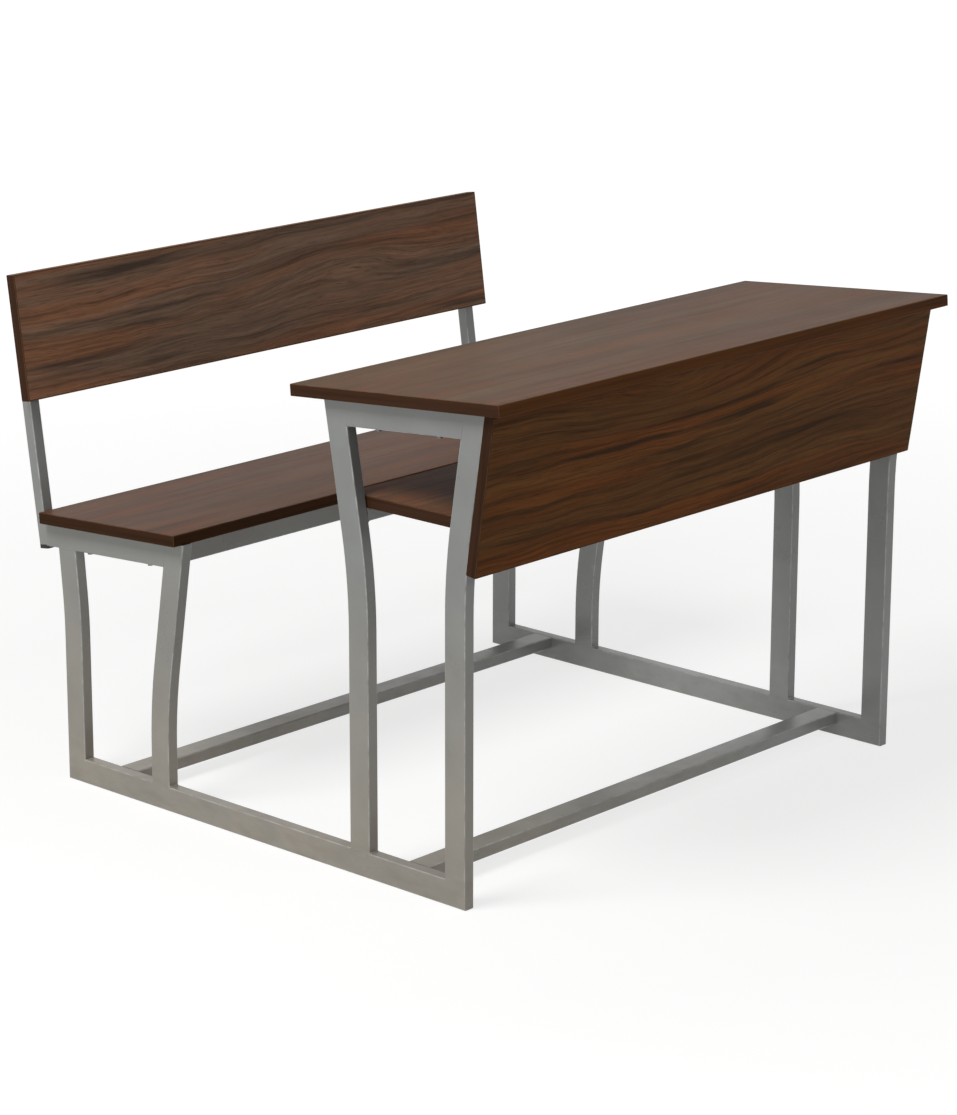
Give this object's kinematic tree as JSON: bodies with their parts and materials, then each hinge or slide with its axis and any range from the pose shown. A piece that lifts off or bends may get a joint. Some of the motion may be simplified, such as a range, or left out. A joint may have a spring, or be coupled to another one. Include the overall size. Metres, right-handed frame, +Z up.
{
  "type": "school desk with bench",
  "caption": "School desk and bench on one welded frame of bent flat tube, with sloped desktop, book shelf, modesty panel, seat and backrest of dark wood-grain board.",
  "frame": {"origin": "on the floor, under the middle of the bounding box", "axes": "+X along the desk, -Y is the side of the modesty panel, +Y is the bench side, +Z up"},
  "size_m": [1.064, 1.0539, 0.8129],
  "materials": {
    "frame_steel": "satin silver-grey powder coat",
    "laminate_board": "dark wenge-grain laminate, satin",
    "edge_band": "dark brown plastic edge band, satin",
    "zinc_screw": "zinc plated",
    "black_plastic": "black moulded plastic"
  },
  "bodies": {
    "root": {"floor_rail_left": "frame_steel", "floor_rail_right": "frame_steel", "desk_front_leg_left": "frame_steel", "desk_front_leg_right": "frame_steel", "desk_rear_leg_left": "frame_steel", "desk_rear_leg_right": "frame_steel", "desk_top_rail_left": "frame_steel", "desk_top_rail_right": "frame_steel", "bench_front_leg_left": "frame_steel", "bench_front_leg_right": "frame_steel", "bench_rear_leg_left": "frame_steel", "bench_rear_leg_right": "frame_steel", "seat_rail_left": "frame_steel", "seat_rail_right": "frame_steel", "backrest_post_left": "frame_steel", "backrest_post_right": "frame_steel", "desk_stretcher": "frame_steel", "bench_stretcher": "frame_steel", "seat_cross_rail": "frame_steel", "shelf_rail_front": "frame_steel", "shelf_rail_rear": "frame_steel", "desktop_board": "laminate_board", "modesty_panel": "laminate_board", "book_shelf": "laminate_board", "seat_board": "laminate_board", "backrest_board": "laminate_board", "desktop_edge_band": "edge_band", "modesty_panel_edge_band": "edge_band", "book_shelf_edge_band": "edge_band", "seat_edge_band": "edge_band", "backrest_edge_band": "edge_band", "desktop_screws": "zinc_screw", "seat_screws": "zinc_screw", "backrest_screws": "zinc_screw", "modesty_panel_screws": "zinc_screw", "shelf_screws": "zinc_screw", "post_end_caps": "black_plastic"}
  },
  "joints": []
}
